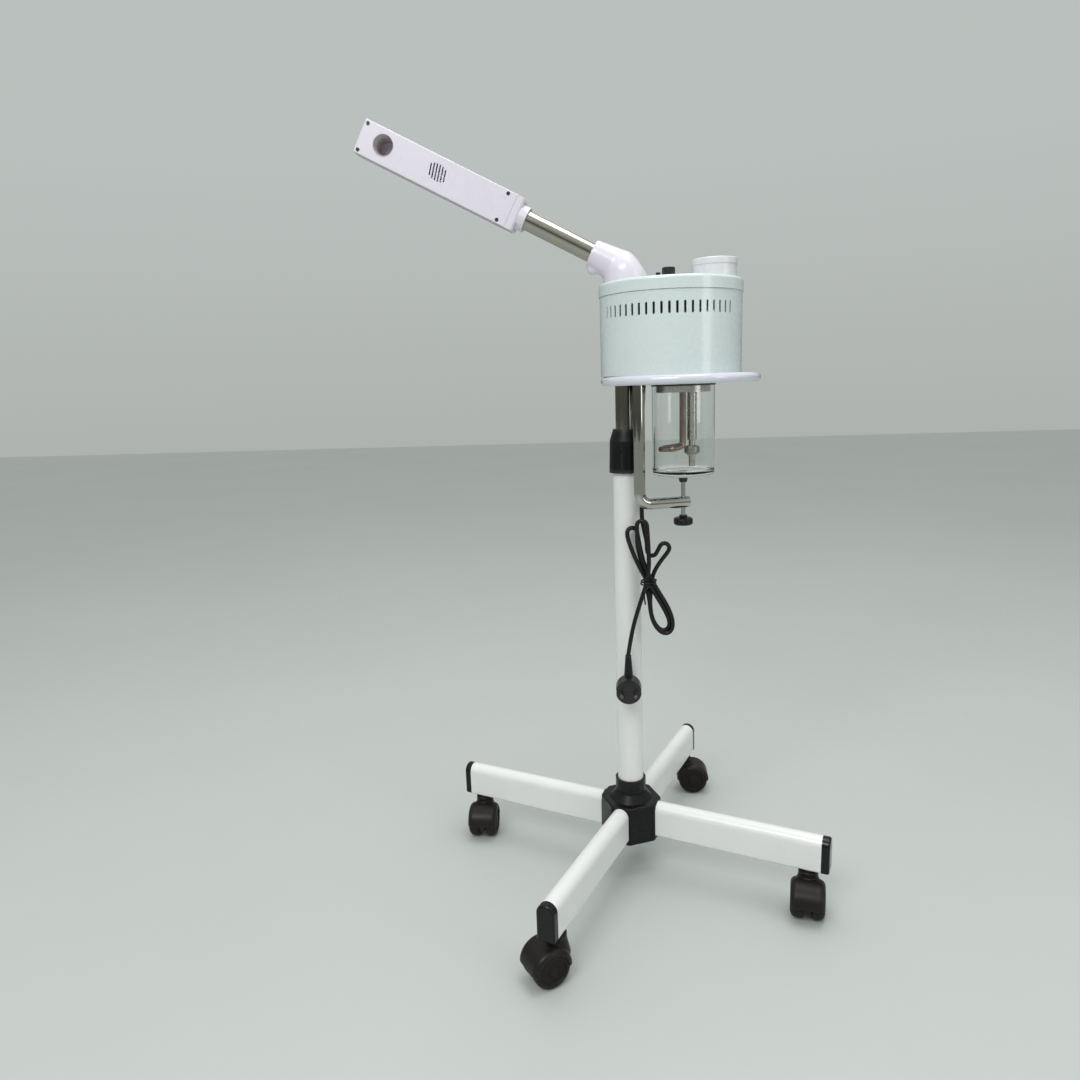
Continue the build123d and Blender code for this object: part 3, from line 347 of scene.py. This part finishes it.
# ---------------------------------------------------------------- mouldings
RELAX_FACTOR = 0.5
ELBOW_VOXEL, ELBOW_RELAXING = 0.0012, 26
ELBOW_FOOT = 0.8596  # level just above the lid, below which the elbow isn't bent
BACK_START, BACK_RUN = 0.002, 0.031  # x where the elbow's back begins to slope, and how far it goes on
BACK_DROP, BACK_CURVE = 0.60, 1.75  # share of the height taken off at the end, and how late it comes
CASTERS = (1, 2, 3, 4)
CASTER_VOXEL, HOOD_RELAXING, WHEEL_RELAXING = 0.001, 5, 3
ROUND_FROM = 0.0148  # distance from the caster's middle, along the axle, where the shoulder begins
ROUND_RADIUS = 0.0092
ROUND_HUB, ROUND_FADE = 0.017, 0.006  # distance from the axle where rounding begins, and how soon it is full


def moulded(node_name, piece_name, body, slot, voxel, relaxing, shape):
    """Copy of a CAD node with its seams blended the way a moulding is, then bent by shape(point)."""
    source = NODES[node_name]
    piece = bpy.data.objects.new(piece_name, source.data.copy())
    bpy.context.scene.collection.objects.link(piece)
    remesh = piece.modifiers.new("remesh", "REMESH")
    remesh.mode = "VOXEL"
    remesh.voxel_size = voxel
    remesh.use_smooth_shade = True
    relax = piece.modifiers.new("relax", "SMOOTH")
    relax.factor = RELAX_FACTOR
    relax.iterations = relaxing
    graph = bpy.context.evaluated_depsgraph_get()
    graph.update()
    mesh = bpy.data.meshes.new_from_object(piece.evaluated_get(graph))
    piece.modifiers.clear()
    piece.data = mesh
    for vertex in mesh.vertices:
        vertex.co = shape(vertex.co)
    mesh.materials.clear()
    mesh.materials.append(MATERIALS[slot])
    for face in mesh.polygons:
        face.use_smooth = True
    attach(piece, body)
    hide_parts(node_name)


def sloped_back(point):
    """Slope the elbow's back down from the neck to the base's edge."""
    height = point.z - ELBOW_FOOT
    along = min(1.0, max(0.0, (point.x - BACK_START) / BACK_RUN))
    if height > 0:
        point.z = ELBOW_FOOT + height * (1.0 - BACK_DROP * along ** BACK_CURVE)
    return point


def add_elbow():
    """The steam elbow, as one soft moulding."""
    moulded("steam_elbow", "elbow_moulding", "elbow", "arm_plastic", ELBOW_VOXEL, ELBOW_RELAXING, sloped_back)


def axle_frame(number):
    """Middle and level direction of a caster's axle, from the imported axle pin.

    The direction is the sum of the offsets of all points in the half of the pin that holds its far end.
    """
    pin = NODES[f"caster_axle_{number}"]
    places = [pin.matrix_world @ vertex.co for vertex in pin.data.vertices]
    middle = sum(places, Vector()) / len(places)
    far = max(places, key=lambda place: (place - middle).length) - middle
    half = sum((place - middle for place in places if (place - middle).dot(far) > 0), Vector())
    half.z = 0.0
    return middle, half.normalized()


def barrel(middle, axis):
    """Shape that rounds the shoulders of whatever sits round a caster's axle."""
    def shape(point):
        offset = point - middle
        side = offset.dot(axis)
        radial = offset - side * axis
        past = min(ROUND_RADIUS, max(0.0, abs(side) - ROUND_FROM))
        reach = radial.length
        if past > 0 and reach > ROUND_HUB:
            cut = ROUND_RADIUS - math.sqrt(ROUND_RADIUS ** 2 - past ** 2)
            fade = min(1.0, (reach - ROUND_HUB) / ROUND_FADE)
            point = middle + side * axis + radial * ((reach - cut * fade) / reach)
        return point
    return shape


def add_casters():
    """Each caster's hood and wheels, with rounded shoulders."""
    for number in CASTERS:
        shape = barrel(*axle_frame(number))
        moulded(f"caster_housing_{number}", f"caster_hood_{number}", f"caster_{number}", "caster_black",
                CASTER_VOXEL, HOOD_RELAXING, shape)
        moulded(f"caster_wheels_{number}", f"caster_tyres_{number}", f"wheels_{number}", "wheel_black",
                CASTER_VOXEL, WHEEL_RELAXING, shape)


# ---------------------------------------------------------------- studio
FLOOR_REACH = 9.0
ROOM_STRENGTH = 0.8
# Stops of height and colour: 0 is straight down, 0.5 the horizon and 1 straight up.
WALL_SEEN = ((0.42, (0.50, 0.53, 0.51)), (0.62, (0.62, 0.66, 0.64)))
ROOM_REFLECTED = (
    (0.30, (0.20, 0.21, 0.19)), (0.44, (0.035, 0.04, 0.036)), (0.50, (0.16, 0.17, 0.15)),
    (0.56, (0.30, 0.32, 0.30)), (0.70, (0.62, 0.65, 0.63)), (0.90, (0.95, 0.97, 0.96)),
)
LIGHTS = (  # name, place, target, size, watts
    ("key", (-0.8, -2.0, 2.3), (0.0, 0.0, 0.55), (1.3, 1.0), 31),
    ("top", (0.3, 0.1, 2.9), (0.0, 0.0, 0.0), (2.0, 1.2), 25),
    ("fill", (2.3, -1.6, 1.3), (0.0, 0.0, 0.6), (0.7, 1.6), 9),
)


def add_floor():
    """Large pale floor, for the render only."""
    material = surface("floor_pale", (0.50, 0.53, 0.51), (0.45, 0.6), mottle=0.03, mottle_scale=1.2,
                       grain=60, grain_height=0.05)
    mesh = bpy.data.meshes.new("floor")
    corners = [(x * FLOOR_REACH, y * FLOOR_REACH, 0) for x, y in ((-1, -1), (1, -1), (1, 1), (-1, 1))]
    mesh.from_pydata(corners, [], [(0, 1, 2, 3)])
    floor = bpy.data.objects.new("floor", mesh)
    mesh.materials.append(material)
    bpy.context.scene.collection.objects.link(floor)


def add_light(name, place, target, size, power):
    """Rectangular area light aimed at a point."""
    data = bpy.data.lights.new(name, "AREA")
    data.shape = "RECTANGLE"
    data.size, data.size_y = size
    data.energy = power
    light = bpy.data.objects.new(name, data)
    light.location = place
    light.rotation_euler = (Vector(target) - Vector(place)).to_track_quat("-Z", "Y").to_euler()
    bpy.context.scene.collection.objects.link(light)


def set_studio():
    """Pale room to the camera; a brighter ceiling and darker walls for what the object reflects."""
    world = bpy.data.worlds.new("studio")
    bpy.context.scene.world = world
    world.use_nodes = True
    tree = world.node_tree
    background = tree.nodes["Background"]
    place = tree.nodes.new("ShaderNodeTexCoord")
    split = tree.nodes.new("ShaderNodeSeparateXYZ")
    shift = tree.nodes.new("ShaderNodeMapRange")
    shift.inputs["From Min"].default_value = -1.0
    tree.links.new(place.outputs["Generated"], split.inputs["Vector"])
    tree.links.new(split.outputs["Z"], shift.inputs["Value"])
    wall = ramp(tree, shift.outputs["Result"], WALL_SEEN)
    room = ramp(tree, shift.outputs["Result"], ROOM_REFLECTED)
    ray = tree.nodes.new("ShaderNodeLightPath")
    seen = tree.nodes.new("ShaderNodeMath")
    seen.operation = "MAXIMUM"
    tree.links.new(ray.outputs["Is Camera Ray"], seen.inputs[0])
    tree.links.new(ray.outputs["Is Transmission Ray"], seen.inputs[1])
    choose = tree.nodes.new("ShaderNodeMixRGB")
    tree.links.new(seen.outputs["Value"], choose.inputs["Fac"])
    tree.links.new(room.outputs["Color"], choose.inputs["Color1"])
    tree.links.new(wall.outputs["Color"], choose.inputs["Color2"])
    tree.links.new(choose.outputs["Color"], background.inputs["Color"])
    background.inputs["Strength"].default_value = ROOM_STRENGTH
    for light in LIGHTS:
        add_light(*light)
    bpy.context.scene.view_settings.view_transform = "Standard"


dress_nodes()
set_camera()
add_cord()
add_elbow()
add_casters()
add_floor()
set_studio()
